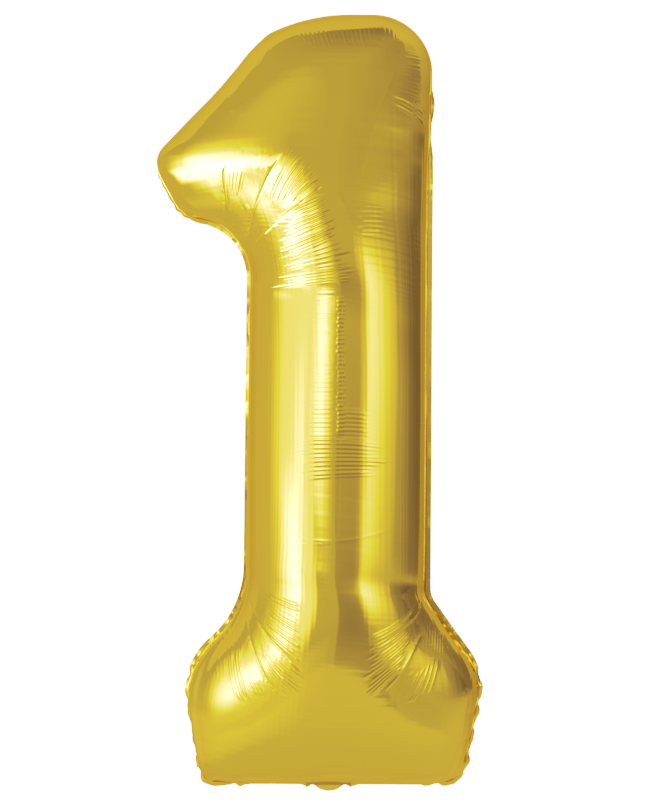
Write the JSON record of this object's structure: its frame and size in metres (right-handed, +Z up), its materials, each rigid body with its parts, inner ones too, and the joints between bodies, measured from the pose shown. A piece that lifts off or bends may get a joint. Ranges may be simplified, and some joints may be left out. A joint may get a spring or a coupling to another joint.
{
  "type": "foil number balloon",
  "caption": "Inflated foil balloon in the shape of a digit: front and back film panels welded along a narrow rim, with a flat self-sealing valve in the tail tab.",
  "frame": {"origin": "middle of the tail tab's neck at the bottom edge, in the seam plane where the two panels meet", "axes": "+Z up along the digit's stem, -Y out of the front, +X to the right as seen from the front"},
  "size_m": [0.3666, 0.2028, 0.8611],
  "materials": {
    "metallised_film": "gold metallised film, mirror-like, finely creased near the seams",
    "valve_film": "clear thin film, slightly milky"
  },
  "bodies": {
    "root": {"front_foil_panel": "metallised_film", "back_foil_panel": "metallised_film", "valve_front_film": "valve_film", "valve_back_film": "valve_film"}
  },
  "joints": []
}
